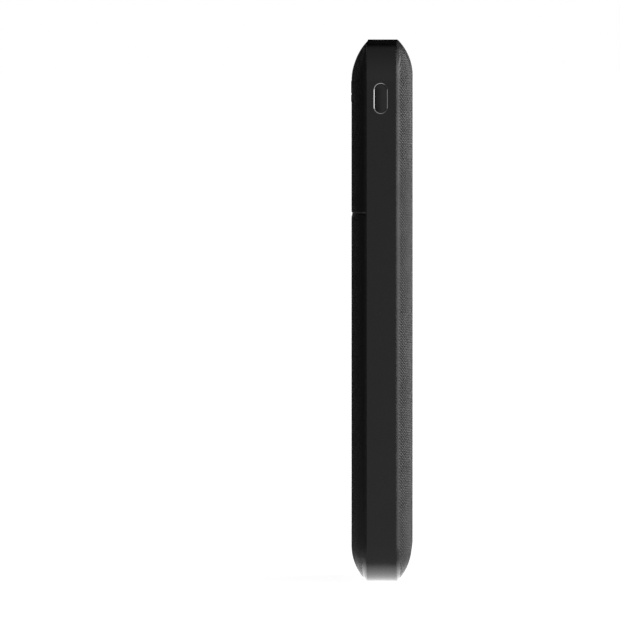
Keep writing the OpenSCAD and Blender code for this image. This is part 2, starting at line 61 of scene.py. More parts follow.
def mm_box(node):
    """The lowest and highest corner of a CAD node, in millimetres."""
    low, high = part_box(node)
    return np.array(low) / MM, np.array(high) / MM


BAND_HIGH = mm_box("mid_frame")[1]
FRONT_HIGH = mm_box("front_cover")[1]
BACK_HIGH = mm_box("back_cover")[1]
PANEL_LOW = mm_box("front_accent_panel")[0]
PORT_LOW, PORT_HIGH = mm_box("usb_c_shell")
BUTTON_LOW, BUTTON_HIGH = mm_box("power_button")

# The case, as the frame has it, with the radii of its corners and pillowed edges.
HALF_W = BAND_HIGH[0]
HALF_BAND = BAND_HIGH[1]
LENGTH = BAND_HIGH[2]
MID_Z = LENGTH / 2
CORNER_R = 10.0
BAND_WALL = 1.6
COVER_D = BACK_HIGH[1] - HALF_BAND
COVER_WALL = 1.6
PILLOW_R = 13.5
PILLOW_RUN = 9.5
INSET = {-1: HALF_W - FRONT_HIGH[0], 1: HALF_W - BACK_HIGH[0]}

# The accent panel and the groove round it.
PANEL_X = PANEL_LOW[0]
PANEL_Z = PANEL_LOW[2]
PANEL_R = 14.0
PANEL_T = 0.9
PANEL_FIT = 0.05
GROOVE_W = 1.2
GROOVE_D = 0.55
PANEL_BEVEL = 0.15

# The groove's section: distances outward from the panel's edge, and depths below the surface.
GROOVE_SLOPE = [
    [-0.4, GROOVE_D],
    [0.38, GROOVE_D],
    [0.5, GROOVE_D - 0.04],
    [GROOVE_W - 0.12, 0.06],
    [GROOVE_W + 0.1, -0.02],
]

# The lamps under the front: a row of chips, each under a hole.
LAMPS = 4
LAMP_CHIP = 1.6
LAMP_HOLE_R = 0.65

# The moulded relief: rows of small pyramids that cross on both diagonals. It starts a little inside
# the rim and grows to its full depth over RELIEF_FADE.
RELIEF_STEP = 0.45
RELIEF_H = 0.09
RELIEF_START = 0.75
RELIEF_FADE = 0.3

# How finely corners are cut, how far the points beside a corner stand from it, and how far a cutter
# runs past what it cuts.
CORNER_STEPS = 40
SUPPORT = 0.6
PAST = 2.0


# ---- Mesh building ----


def build(name, vertices, faces):
    """A mesh object from millimetres, with its faces turned outward."""
    mesh = bpy.data.meshes.new(name)
    mesh.from_pydata((np.asarray(vertices, float) * MM).tolist(), [], faces)
    mesh.validate()
    obj = bpy.data.objects.new(name, mesh)
    bpy.context.scene.collection.objects.link(obj)
    outward(obj)
    return obj


def outward(obj):
    """Turns a closed mesh's faces outward."""
    bm = bmesh.new()
    bm.from_mesh(obj.data)
    bmesh.ops.recalc_face_normals(bm, faces=bm.faces)
    bm.to_mesh(obj.data)
    bm.free()


def cut(obj, operation, *tools):
    """Applies booleans with closed tool meshes, and removes the tools."""
    for tool in tools:
        modifier = obj.modifiers.new("cut", "BOOLEAN")
        modifier.operation = operation
        modifier.solver = "MANIFOLD"
        modifier.object = tool
        evaluated = obj.evaluated_get(bpy.context.evaluated_depsgraph_get())
        mesh = bpy.data.meshes.new_from_object(evaluated)
        obj.modifiers.clear()
        old = obj.data
        obj.data = mesh
        bpy.data.meshes.remove(old)
        bpy.data.objects.remove(tool)
    return obj


def smooth(obj, degrees=32, weighted=True):
    """Smooth shading up to an angle, with flat faces kept flat."""
    obj.data.shade_smooth()
    obj.data.set_sharp_from_angle(angle=math.radians(degrees))
    if weighted:
        modifier = obj.modifiers.new("flat faces", "WEIGHTED_NORMAL")
        modifier.keep_sharp = True
    return obj


def rounded_loop(half_w, half_l, radius, inset, steps=CORNER_STEPS):
    """Points of a rounded rectangle in plan about (0, 0), set in from its outline by inset."""
    points = []
    small = max(radius - inset, 0.0)
    support = min(SUPPORT, (min(half_w, half_l) - radius) / 2)
    for turn, (sx, sz) in enumerate([(1, 1), (-1, 1), (-1, -1), (1, -1)]):
        centre = np.array([sx * (half_w - radius), sz * (half_l - radius)])
        start = math.pi / 2 * turn
        arc = [start + math.pi / 2 * i / steps for i in range(steps + 1)]
        before = np.array([math.sin(start), -math.cos(start)]) * support
        after = np.array([-math.cos(start), -math.sin(start)]) * support
        ends = [small * np.array([math.cos(a), math.sin(a)]) for a in (arc[0], arc[-1])]
        points.append(centre + ends[0] + before)
        points += [centre + small * np.array([math.cos(a), math.sin(a)]) for a in arc]
        points.append(centre + ends[1] + after)
    return np.array(points)


def stadium_loop(width, length, grow, steps=24):
    """Points of a stadium, its length along the second axis, grown outward by grow."""
    radius = width / 2 + grow
    straight = (length - width) / 2
    points = []
    for end in (1, -1):
        for i in range(steps + 1):
            a = math.pi * i / steps + (0 if end > 0 else math.pi)
            points.append([radius * math.cos(a), end * straight + radius * math.sin(a)])
    return np.array(points)


def loft(loops, closed=False):
    """Vertices and faces that join loops of equal length, capped at both ends or closed on itself."""
    count = len(loops[0])
    vertices = np.concatenate(loops)
    faces = []
    last = len(loops) if closed else len(loops) - 1
    for k in range(last):
        a, b = k * count, (k + 1) % len(loops) * count
        for i in range(count):
            j = (i + 1) % count
            faces.append((a + i, a + j, b + j, b + i))
    if not closed:
        faces.append(tuple(range(count))[::-1])
        faces.append(tuple(range((len(loops) - 1) * count, len(loops) * count)))
    return vertices, faces


def in_plan(plan, depth, side):
    """Plan points and depths on one side of the case as points in the frame."""
    plan = np.asarray(plan, float)
    depth = np.broadcast_to(depth, len(plan))
    return np.column_stack([plan[:, 0], side * (HALF_BAND + depth), plan[:, 1] + MID_Z])


# ---- The pillowed form ----


def rim_distance(x, z, side):
    """How far points in plan lie inside the rim of a cover (below 0 outside it)."""
    inner = CORNER_R - INSET[side]
    qx = np.abs(x) - (HALF_W - CORNER_R)
    qz = np.abs(z) - (MID_Z - CORNER_R)
    outside = np.hypot(np.maximum(qx, 0), np.maximum(qz, 0))
    return inner - outside - np.minimum(np.maximum(qx, qz), 0)


def pillow_depth(distance, taken=0.0):
    """Depth of a cover's outer form at a distance inside its rim, with some thickness taken off."""
    run = np.clip(PILLOW_RUN - distance, 0, PILLOW_RUN)
    return np.sqrt((PILLOW_R - taken) ** 2 - run**2) - (PILLOW_R - COVER_D)


def pillow_solid(side, taken, below=0.5):
    """The smooth form of a cover with some thickness taken off, as a closed mesh."""
    radius = PILLOW_R - taken
    drop = COVER_D - PILLOW_R
    steep = math.acos((-below - drop) / radius)
    loops = []
    arcs = 24
    for i in range(arcs + 1):
        angle = steep * (1 - i / arcs)
        inset = INSET[side] + PILLOW_RUN - radius * math.sin(angle)
        depth = radius * math.cos(angle) + drop
        loops.append(in_plan(rounded_loop(HALF_W, MID_Z, CORNER_R, inset), depth, side))
    return build("form", *loft(loops))


def relief_solid(side):
    """The full form of a cover with its moulded relief: a closed mesh with a flat underside."""
    inset = INSET[side]
    half_w, half_l = HALF_W - inset, MID_Z - inset
    nx, nz = (2 * round(h / RELIEF_STEP) for h in (half_w, half_l))
    gx, gz = np.meshgrid(np.linspace(-half_w, half_w, nx + 1), np.linspace(-half_l, half_l, nz + 1))
    distance = rim_distance(gx, gz, side)
    inside = distance > 1e-6

    # A quad belongs if one of its corners is inside; outer corners move onto the outline.
    keep = inside[:-1, :-1] | inside[1:, :-1] | inside[:-1, 1:] | inside[1:, 1:]
    x, z = onto_outline(gx, gz, distance)
    depth = pillow_depth(np.maximum(distance, 0))
    slope = np.clip(PILLOW_RUN - np.maximum(distance, 0), 0, None) / PILLOW_R
    towards = outline_normal(gx, gz)
    column, row = np.meshgrid(np.arange(nx + 1), np.arange(nz + 1))
    pit = (column + row) % 2 == 1
    sunk = np.where(pit, RELIEF_H, 0) * np.clip((distance - RELIEF_START) / RELIEF_FADE, 0, 1)
    upright = np.sqrt(1 - slope**2)
    x = x - sunk * slope * towards[0]
    z = z - sunk * slope * towards[1]
    depth = depth - sunk * upright

    used = np.zeros(gx.shape, bool)
    for di in (0, 1):
        for dj in (0, 1):
            used[di : di + nz, dj : dj + nx] |= keep
    number = np.cumsum(used.ravel()).reshape(used.shape) - 1
    plan = np.column_stack([x[used], z[used]])
    top = in_plan(plan, depth[used], side)
    j, i = np.nonzero(keep)
    a, b, c, d = number[j, i], number[j, i + 1], number[j + 1, i + 1], number[j + 1, i]
    # Each quad is split between its two pits, so that every peak is a pyramid.
    split = pit[j, i]
    first = np.where(split[:, None], np.column_stack([a, b, c]), np.column_stack([a, b, d]))
    second = np.where(split[:, None], np.column_stack([a, c, d]), np.column_stack([b, c, d]))
    triangles = np.concatenate([first, second])
    return build("relief", *close_below(top, triangles, side))


def onto_outline(x, z, distance):
    """Points in plan, with those outside the outline moved onto it."""
    nx, nz = outline_normal(x, z)
    over = np.minimum(distance, 0)
    return x + nx * over, z + nz * over


def outline_normal(x, z):
    """The unit direction in plan from each point to the nearest part of the outline."""
    qx = np.abs(x) - (HALF_W - CORNER_R)
    qz = np.abs(z) - (MID_Z - CORNER_R)
    corner = (qx > 0) & (qz > 0)
    length = np.maximum(np.hypot(qx, qz), 1e-9)
    nx = np.where(corner, qx / length, (qx >= qz).astype(float)) * np.sign(x)
    nz = np.where(corner, qz / length, (qx < qz).astype(float)) * np.sign(z)
    return nx, nz


def close_below(top, triangles, side):
    """Closes an open surface with a wall down to the band's plane and a flat underside."""
    edges = np.concatenate([triangles[:, [0, 1]], triangles[:, [1, 2]], triangles[:, [2, 0]]])
    code = edges[:, 0] * len(top) + edges[:, 1]
    mirrored = edges[:, 1] * len(top) + edges[:, 0]
    border = edges[~np.isin(code, mirrored)]
    following = dict(border.tolist())
    loop = [int(border[0, 0])]
    while following[loop[-1]] != loop[0]:
        loop.append(following[loop[-1]])
    under = top[loop].copy()
    under[:, 1] = side * HALF_BAND
    base = len(top)
    faces = [tuple(t) for t in triangles.tolist()]
    for k in range(len(loop)):
        n = (k + 1) % len(loop)
        faces.append((loop[n], loop[k], base + k, base + n))
    faces.append(tuple(range(base, base + len(loop))))
    return np.concatenate([top, under]), faces


# ---- The accent panel and its groove ----


def panel_outline():
    """The panel's free edge in plan from the button side to the upper end, with outward normals."""
    centre = np.array([PANEL_X + PANEL_R, PANEL_Z - MID_Z + PANEL_R])
    low_z = PANEL_Z - MID_Z
    level = np.linspace(HALF_W + PAST, centre[0], 90)[:-1]
    upright = np.linspace(centre[1], MID_Z + PAST, 60)[1:]
    turns = np.linspace(1.5 * math.pi, math.pi, 49)
    points = [(x, low_z, 0.0, -1.0) for x in level]
    points += [
        (centre[0] + PANEL_R * math.cos(t), centre[1] + PANEL_R * math.sin(t), math.cos(t), math.sin(t))
        for t in turns
    ]
    points += [(PANEL_X, z, -1.0, 0.0) for z in upright]
    data = np.array(points)
    return data[:, :2], data[:, 2:]


def panel_prism(grow):
    """A prism through the front over the accent panel's plan, grown outward by grow."""
    line, normal = panel_outline()
    edge = line + normal * grow
    corner = np.array([[HALF_W + PAST, MID_Z + PAST]])
    plan = np.concatenate([edge, corner])
    loops = [in_plan(plan, depth, -1) for depth in (-1.0, COVER_D + PAST)]
    return build("prism", *loft(loops))


def edge_cutter(profile):
    """A strip along the panel's free edge that cuts into the surface.

    profile lists [distance outward from the edge, depth cut below the surface].
    """
    line, normal = panel_outline()
    rows_low, rows_high = [], []
    for offset, depth in profile:
        plan = line + normal * offset
        distance = np.maximum(rim_distance(plan[:, 0], plan[:, 1], -1), 0)
        rows_low.append(in_plan(plan, pillow_depth(distance, depth), -1))
        rows_high.append(in_plan(plan, pillow_depth(distance, -1.0), -1))
    loops = rows_low + rows_high[::-1]
    sections = [np.array([loop[k] for loop in loops]) for k in range(len(line))]
    return build("cutter", *loft(sections))


def lamp_cutters():
    """Round cutters through the front where the light pipe comes out."""
    tools = []
    for x, z in lamp_spots():
        turns = np.linspace(0, 2 * math.pi, 33)[:-1]
        ring = np.column_stack([x + LAMP_HOLE_R * np.cos(turns), z + LAMP_HOLE_R * np.sin(turns)])
        loops = [in_plan(ring, depth, -1) for depth in (0.5, COVER_D + 1.0)]
        tools.append(build("lamp_cutter", *loft(loops)))
    return tools


def lamp_spots():
    """The plan positions of the lamps, from the row of lamp chips."""
    low, high = mm_box("led_chips")
    z = (low[2] + high[2]) / 2 - MID_Z
    return [(x, z) for x in np.linspace(low[0] + LAMP_CHIP / 2, high[0] - LAMP_CHIP / 2, LAMPS)]


# ---- The lamp window and the badge ----

# Corner radius, clearance in the pocket, rounding of the front edge and chamfer of the back edge.
INLAY_R = 0.5
INLAY_FIT = 0.05
INLAY_EDGE = 0.08
INLAY_FOOT = 0.03


def inlay_loop(node, grow):
    """The outline in plan of a plate let into the panel, grown outward by grow."""
    low, high = mm_box(node)
    half_w, half_l = (high[0] - low[0]) / 2, (high[2] - low[2]) / 2
    centre = np.array([low[0] + half_w, low[2] + half_l - MID_Z])
    return centre + rounded_loop(half_w, half_l, INLAY_R, -grow, 8)


def inlay_pocket(node):
    """The pocket in the panel that a plate sits in."""
    low, high = mm_box(node)
    plan = inlay_loop(node, INLAY_FIT)
    loops = [in_plan(plan, -HALF_BAND - y, -1) for y in (high[1] + INLAY_FIT, low[1] - 1)]
    return build("pocket", *loft(loops))


def make_inlay(node, name):
    """A thin plate with a rounded front edge, let into the panel."""
    low, high = mm_box(node)
    section = [[high[1], -INLAY_FOOT], [high[1] - INLAY_FOOT, 0]]
    for t in np.linspace(0, math.pi / 2, 5):
        section.append([low[1] + INLAY_EDGE * (1 - math.sin(t)), -INLAY_EDGE * (1 - math.cos(t))])
    loops = [in_plan(inlay_loop(node, grow), -HALF_BAND - y, -1) for y, grow in section]
    plate = build("plate", *loft(loops))
    smooth(plate)
    return place(plate, name, "case", node, node)


# ---- Boxes, and lofts across the thickness ----


def box_solid(low, high):
    """A closed box between two corners in the frame."""
    low, high = np.asarray(low, float), np.asarray(high, float)
    corners = [[x, z] for x, z in ((0, 0), (1, 0), (1, 1), (0, 1))]
    plan = np.array([[(low[0], high[0])[i], (low[2], high[2])[k]] for i, k in corners])
    loops = [np.column_stack([plan[:, 0], np.full(4, y), plan[:, 1]]) for y in (low[1], high[1])]
    return build("box", *loft(loops))


def across(loop, x, y, z):
    """A loop in the Y-Z plane at x, about the point (y, z)."""
    return np.column_stack([np.full(len(loop), x), loop[:, 0] + y, loop[:, 1] + z])


# ---- Covers ----

# The skirts inside the covers, along the long sides and the lower end, and the hooks on them.
SKIRT_X = (29.25, 30.25)
SKIRT_Z = (14.0, 104.0)
SKIRT_END_X = 18.0
SKIRT_END_Z = (3.75, 4.75)
SKIRT_DEPTH = (-1.2, 1.7)
HOOK_Z = (26.0, 58.0, 90.0)
HOOK_HALF = 4.0
HOOK_DEPTH = (-1.2, -0.7)
HOOK_OUT = (-0.05, 0.35)


def skirts(side):
    """The skirts and snap hooks of a cover, as closed boxes that run a little into its wall."""
    y0, y1 = sorted(side * (HALF_BAND + d) for d in SKIRT_DEPTH)
    hook = sorted(side * (HALF_BAND + d) for d in HOOK_DEPTH)
    boxes = [box_solid((-SKIRT_END_X, y0, SKIRT_END_Z[0]), (SKIRT_END_X, y1, SKIRT_END_Z[1]))]
    for sign in (-1, 1):
        xs = sorted(sign * x for x in SKIRT_X)
        boxes.append(box_solid((xs[0], y0, SKIRT_Z[0]), (xs[1], y1, SKIRT_Z[1])))
        xs = sorted(sign * (SKIRT_X[1] + x) for x in HOOK_OUT)
        for z in HOOK_Z:
            boxes.append(box_solid((xs[0], hook[0], z - HOOK_HALF), (xs[1], hook[1], z + HOOK_HALF)))
    return boxes


def make_back_cover():
    """The back cover: a shell with relief, skirts and hooks."""
    cover = relief_solid(1)
    cut(cover, "DIFFERENCE", pillow_solid(1, COVER_WALL))
    cut(cover, "UNION", *skirts(1))
    return place(cover, "back_cover_shell", "case", "back_cover", "back_cover")


def make_front_cover():
    """The front cover, with a seat for the accent panel and a groove round it."""
    cover = relief_solid(-1)
    cut(cover, "DIFFERENCE", pillow_solid(-1, COVER_WALL))
    seat = panel_prism(PANEL_FIT)
    cut(seat, "DIFFERENCE", pillow_solid(-1, PANEL_T + PANEL_FIT))
    cut(cover, "DIFFERENCE", seat)
    cut(cover, "DIFFERENCE", edge_cutter(GROOVE_SLOPE), *lamp_cutters())
    cut(cover, "UNION", *skirts(-1))
    return place(cover, "front_cover_shell", "case", "front_cover", "front_cover")


def make_accent_panel():
    """The panel let into the front, with a bevelled edge, lamp holes and pockets for the inlays."""
    panel = relief_solid(-1)
    cut(panel, "INTERSECT", panel_prism(0))
    cut(panel, "DIFFERENCE", pillow_solid(-1, PANEL_T))
    bevel = [[-PANEL_BEVEL - 0.02, -0.02], [0.06, PANEL_BEVEL + 0.06]]
    cut(panel, "DIFFERENCE", edge_cutter(bevel), *lamp_cutters())
    cut(panel, "DIFFERENCE", inlay_pocket("lamp_window"), inlay_pocket("badge_plate"))
    return place(panel, "accent_panel", "case", "front_accent_panel", "front_accent_panel")


def place(obj, name, body, slot, *nodes):
    """Names a piece and ties it to its body, its finish and the CAD nodes that it stands for."""
    obj.name = obj.data.name = name
    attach(obj, body)
    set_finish(obj, slot)
    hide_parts(*nodes)
    return obj


# ---- Band ----

BAND_EDGE_R = 0.18

# The button: a nub that meets the switch, a flange behind the band and the cap in its opening.
BUTTON_Y, BUTTON_Z = (BUTTON_LOW[1:] + BUTTON_HIGH[1:]) / 2
CAP_W = 3.0
CAP_L = 7.5
CAP_GAP = 0.1
CAP_BEVEL = 0.24
BEVEL_DEPTH = 0.2
CAP_EDGE = 0.1
CAP_DOME = 0.1
NUB_R = 0.8
NUB_L = 0.55
FLANGE_T = 0.7
FLANGE_OUT = 0.65

# The port: its shell is a standard receptacle's.
PORT_Y = -0.6
PORT_Z = (PORT_LOW[2] + PORT_HIGH[2]) / 2
PORT_W = 3.16
PORT_L = 8.94
PORT_GAP = 0.12
PORT_LIP = 0.1
SHELL_D = 7.35
SHELL_WALL = 0.3
LIP_R = 0.13
LEG_X = (2.2, 5.9)
LEG_W = 0.9
LEG_T = 0.3
TONGUE_BASE = 2.2
TONGUE_HALF = (0.35, 3.345)
TONGUE_R = 0.12


def make_band():
    """The band round the edge: a swept section with rounded outer edges, cut for port and button."""
    section = [[BAND_WALL, -HALF_BAND], [BAND_WALL, HALF_BAND]]
    for side in (1, -1):
        turns = np.linspace(0, math.pi / 2, 7)
        if side < 0:
            turns = turns[::-1]
        for t in turns:
            inset = BAND_EDGE_R * (1 - math.sin(t))
            section.append([inset, side * (HALF_BAND - BAND_EDGE_R * (1 - math.cos(t)))])
    loops = [
        in_plan(rounded_loop(HALF_W, MID_Z, CORNER_R, inset), y - HALF_BAND, 1) for inset, y in section
    ]
    band = build("band", *loft(loops, closed=True))
    inner = HALF_W - BAND_WALL - 1
    mouth = [[inner, 0], [HALF_W - BEVEL_DEPTH, 0]]
    mouth += [[HALF_W + x, CAP_BEVEL * (1 + x / BEVEL_DEPTH)] for x in (-0.02, 0.03)]
    mouth.append([HALF_W + 1, mouth[-1][1]])
    opening = [
        across(stadium_loop(CAP_W, CAP_L, CAP_GAP + grow), x, BUTTON_Y, BUTTON_Z) for x, grow in mouth
    ]
    flare = PORT_LIP + 0.05
    lip = [[HALF_W + 1, flare], [HALF_W + 0.05, flare], [HALF_W - PORT_LIP, 0], [inner, 0]]
    port = [
        across(stadium_loop(PORT_W, PORT_L, PORT_GAP + grow), -x, PORT_Y, PORT_Z) for x, grow in lip
    ]
    cut(band, "DIFFERENCE", *(build("cutter", *loft(loops)) for loops in (opening, port)))
    smooth(band)
    return place(band, "band", "case", "mid_frame", "mid_frame")


# ---- Button ----


def make_button():
    """The button: nub, flange and a slightly domed cap with a rounded edge."""
    nub_x, flange_x = BUTTON_LOW[0], BUTTON_LOW[0] + NUB_L
    # The nub is a circle with its halves a hair apart, so that it has as many points as the cap.
    nub = stadium_loop(2 * NUB_R, 2 * NUB_R + 2e-4, 0)
    stages = [(0.85, nub_x), (1, nub_x + 0.12), (1, flange_x)]
    loops = [across(nub * share, x, BUTTON_Y, BUTTON_Z) for share, x in stages]
    flange = [[0, -0.05], [0.06, 0], [FLANGE_T - 0.06, 0], [FLANGE_T, -0.05]]
    profile = [[flange_x + x, FLANGE_OUT + grow] for x, grow in flange]
    profile.append([flange_x + FLANGE_T, 0])
    rim_x = BUTTON_HIGH[0] - CAP_DOME
    for t in np.linspace(0, math.pi / 2, 7):
        profile.append([rim_x - CAP_EDGE * (1 - math.sin(t)), -CAP_EDGE * (1 - math.cos(t))])
    for share in (0.25, 0.5, 0.75, 0.9):
        rise = CAP_DOME * (1 - (1 - share) ** 2)
        profile.append([rim_x + rise, -CAP_EDGE - (CAP_W / 2 - CAP_EDGE) * share])
    loops += [across(stadium_loop(CAP_W, CAP_L, grow), x, BUTTON_Y, BUTTON_Z) for x, grow in profile]
    button = build("button", *loft(loops))
    smooth(button)
    return place(button, "button_cap", "button", "power_button", "power_button")


# ---- USB-C receptacle ----


def make_port_shell():
    """The drawn steel shell with a rolled lip, and its four solder legs."""
    mouth, back = PORT_LOW[0], PORT_LOW[0] + SHELL_D
    section = [[back, 0], [mouth + 0.14, 0]]
    for t in np.linspace(0, math.pi, 9):
        section.append([mouth + 0.12 * (1 - math.sin(t)), -LIP_R * (1 - math.cos(t))])
    section += [[mouth + 0.3, -SHELL_WALL], [back, -SHELL_WALL]]
    loops = [across(stadium_loop(PORT_W, PORT_L, grow), x, PORT_Y, PORT_Z) for x, grow in section]
    shell = build("shell", *loft(loops, closed=True))
    legs = []
    for x in LEG_X:
        for side in (-1, 1):
            z = PORT_Z + side * (PORT_L - LEG_T) / 2
            low = (mouth + x, PORT_Y, z - LEG_T / 2)
            high = (mouth + x + LEG_W, PORT_HIGH[1], z + LEG_T / 2)
            legs.append(box_solid(low, high))
    cut(shell, "UNION", *legs)
    smooth(shell)
    return place(shell, "port_shell", "case", "usb_c_shell", "usb_c_shell")


def make_tongue():
    """The moulded base and the tongue, with a tip that tapers for the plug."""
    low, high = mm_box("usb_c_tongue")
    base_x = high[0] - TONGUE_BASE
    base = [[base_x, -0.35], [base_x + 0.06, -0.32], [high[0] - 0.06, -0.32], [high[0], -0.38]]
    loops = [across(stadium_loop(PORT_W, PORT_L, grow), x, PORT_Y, PORT_Z) for x, grow in base]
    tongue = build("tongue", *loft(loops))
    half_y, half_z = TONGUE_HALF
    r = TONGUE_R
    tip = [[low[0], -0.2], [low[0] + 0.3, -0.03], [low[0] + 0.4, 0.0], [base_x + 0.5, 0.0]]
    blades = []
    for x, grow in tip:
        y, z = half_y + grow, half_z + grow
        corners = np.array([[y - r, z - r], [r - y, z - r], [r - y, r - z], [y - r, r - z]])
        loop = []
        for quarter, c in enumerate(corners):
            for i in range(4):
                t = math.pi / 2 * (quarter + i / 3)
                loop.append(c + r * np.array([math.cos(t), math.sin(t)]))
        blades.append(across(np.array(loop), x, PORT_Y, PORT_Z))
    cut(tongue, "UNION", build("blade", *loft(blades)))
    smooth(tongue)
    return place(tongue, "port_tongue", "case", "usb_c_tongue", "usb_c_tongue")


# ---- Foam pads ----

# The radius of a pad's corners in plan.
PAD_R = 2.0


def make_pad(node, name):
    """A foam pad pressed flat between cell and cover, with soft bulging sides."""
    low, high = mm_box(node)
    half_w, half_l = (high[0] - low[0]) / 2, (high[2] - low[2]) / 2
    round_by = (high[1] - low[1]) / 2
    middle = (low[2] + high[2]) / 2
    loops = []
    for t in np.linspace(0, math.pi, 9):
        plan = rounded_loop(half_w, half_l, PAD_R, round_by * (1 - math.sin(t)), 8)
        y = low[1] + round_by * (1 - math.cos(t))
        loops.append(np.column_stack([plan[:, 0], np.full(len(plan), y), plan[:, 1] + middle]))
    pad = build("pad", *loft(loops))
    smooth(pad)
    place(pad, name, "case", node, node)
    return pad


# ---- Materials ----


def map_range(tree, value, low, high, to_low=0.0, to_high=1.0):
    """Takes low to to_low and high to to_high in a node tree, and holds what lies beyond."""
    node = tree.nodes.new("ShaderNodeMapRange")
    for name, number in zip(("From Min", "From Max", "To Min", "To Max"), (low, high, to_low, to_high)):
        node.inputs[name].default_value = number
    tree.links.new(value, node.inputs["Value"])
    return node.outputs["Result"]


def show_camera(tree, seen, given, output):
    """Ends a node tree with one shader for the camera and another for what lights the object."""
    mix = tree.nodes.new("ShaderNodeMixShader")
    tree.links.new(tree.nodes.new("ShaderNodeLightPath").outputs["Is Camera Ray"], mix.inputs["Fac"])
    tree.links.new(given, mix.inputs[1])
    tree.links.new(seen, mix.inputs[2])
    tree.links.new(mix.outputs["Shader"], tree.nodes[output].inputs["Surface"])


class Finish:
    """A material being built: a Principled shader with procedural detail in object space."""

    def __init__(self, name, base, rough, metal=0.0, **sockets):
        self.material = bpy.data.materials.new(name)
        self.material.use_nodes = True
        self.tree = self.material.node_tree
        self.nodes, self.links = self.tree.nodes, self.tree.links
        self.shader = self.nodes["Principled BSDF"]
        self.shader.inputs["Metallic"].default_value = metal
        for socket, value in sockets.items():
            self.shader.inputs[socket.replace("_", " ")].default_value = value
        self.place = self.nodes.new("ShaderNodeTexCoord").outputs["Object"]
        self.colour = None
        self.base = base
        self.rough = rough
        self.height = None

    def stretched(self, scale):
        """Object coordinates with each axis scaled."""
        node = self.nodes.new("ShaderNodeMapping")
        node.inputs["Scale"].default_value = scale
        self.links.new(self.place, node.inputs["Vector"])
        return node.outputs["Vector"]

    def noise(self, size_mm, detail=4.0, stretch=None):
        """Noise with features of about this size in millimetres."""
        node = self.nodes.new("ShaderNodeTexNoise")
        node.inputs["Scale"].default_value = 1000 / size_mm
        node.inputs["Detail"].default_value = detail
        self.links.new(self.stretched(stretch) if stretch else self.place, node.inputs["Vector"])
        return node.outputs["Fac"]

    def cells(self, size_mm, feature="F1"):
        """Distance to scattered points this far apart in millimetres."""
        node = self.nodes.new("ShaderNodeTexVoronoi")
        node.feature = feature
        node.inputs["Scale"].default_value = 1000 / size_mm
        self.links.new(self.place, node.inputs["Vector"])
        return node.outputs["Distance"]

    def attribute(self, name):
        """A number stored on the mesh, 0 where the mesh has none."""
        node = self.nodes.new("ShaderNodeAttribute")
        node.attribute_name = name
        return node.outputs["Fac"]

    def remap(self, value, low, high, to_low=0.0, to_high=1.0):
        """Takes low to to_low and high to to_high, and holds what lies beyond."""
        return map_range(self.tree, value, low, high, to_low, to_high)

    def combine(self, operation, a, b):
        """A math node on two values, each a socket or a number."""
        node = self.nodes.new("ShaderNodeMath")
        node.operation = operation
        for socket, value in zip(node.inputs, (a, b)):
            if isinstance(value, (int, float)):
                socket.default_value = value
            else:
                self.links.new(value, socket)
        return node.outputs["Value"]

    def tint(self, factor, colour):
        """Mixes another colour over the base by a factor."""
        node = self.nodes.new("ShaderNodeMix")
        node.data_type = "RGBA"
        self.links.new(factor, node.inputs["Factor"])
        if self.colour is None:
            node.inputs["A"].default_value = (*self.base, 1)
        else:
            self.links.new(self.colour, node.inputs["A"])
        node.inputs["B"].default_value = (*colour, 1)
        self.colour = node.outputs["Result"]

    def vary_rough(self, factor, low, high):
        """Adds a roughness change between low and high, by a factor from 0 to 1."""
        change = self.remap(factor, 0, 1, low, high)
        self.rough = self.combine("ADD", change, self.rough if self.rough is not None else 0)

    def raise_by(self, factor, height_mm):
        """Bumps the surface by up to height_mm."""
        node = self.nodes.new("ShaderNodeBump")
        node.inputs["Strength"].default_value = 1.0
        node.inputs["Distance"].default_value = height_mm * MM
        self.links.new(factor, node.inputs["Height"])
        if self.height is not None:
            self.links.new(self.height, node.inputs["Normal"])
        self.height = node.outputs["Normal"]

    def done(self):
        """Links everything to the shader and returns the material."""
        inputs = self.shader.inputs
        if self.colour is None:
            inputs["Base Color"].default_value = (*self.base, 1)
        else:
            self.links.new(self.colour, inputs["Base Color"])
        if isinstance(self.rough, (int, float)):
            inputs["Roughness"].default_value = self.rough
        else:
            self.links.new(self.rough, inputs["Roughness"])
        if self.height is not None:
            self.links.new(self.height, inputs["Normal"])
        return self.material


def scaled(colour, factor):
    """A colour made lighter or darker."""
    return tuple(c * factor for c in colour)


def moulded(name, base, rough, grain_mm=0.12, height_mm=0.002, **sockets):
    """Moulded plastic: cloudy tone, fine spark grain, uneven gloss."""
    f = Finish(name, base, rough - 0.05, **sockets)
    f.tint(f.remap(f.noise(9), 0.3, 0.7), scaled(base, 1.25))
    f.tint(f.remap(f.noise(0.7, 2), 0.35, 0.75, 0, 0.5), scaled(base, 0.8))
    f.vary_rough(f.remap(f.noise(5, 5), 0.3, 0.7), 0, 0.1)
    f.raise_by(f.noise(grain_mm, 3), height_mm)
    return f


def cover_finish(name, base):
    """The covers: worn crests on the relief and along the edges, and a painted highlight on the bevel
    by the groove.
    """
    f = moulded(name, base, 0.48, 0.09, 0.004)
    peak, wear = f.attribute("peak"), f.attribute("wear")
    crests = f.combine("MULTIPLY", peak, f.remap(f.noise(3), 0.35, 0.75, 0.1, 0.55))
    f.tint(crests, scaled(base, 1.7))
    rubbed = f.combine("MULTIPLY", wear, f.remap(f.noise(1.6, 6), 0.4, 0.7, 0.0, 0.8))
    f.tint(rubbed, scaled(base, 2.4))
    # Painted highlight: the panel's bevel faces are tinted light grey to stand in for the light they
    # catch.
    f.tint(f.attribute("bevel"), (0.35, 0.35, 0.35))
    f.vary_rough(f.remap(peak, 0.25, 0.75), 0.1, -0.1)
    return f.done()


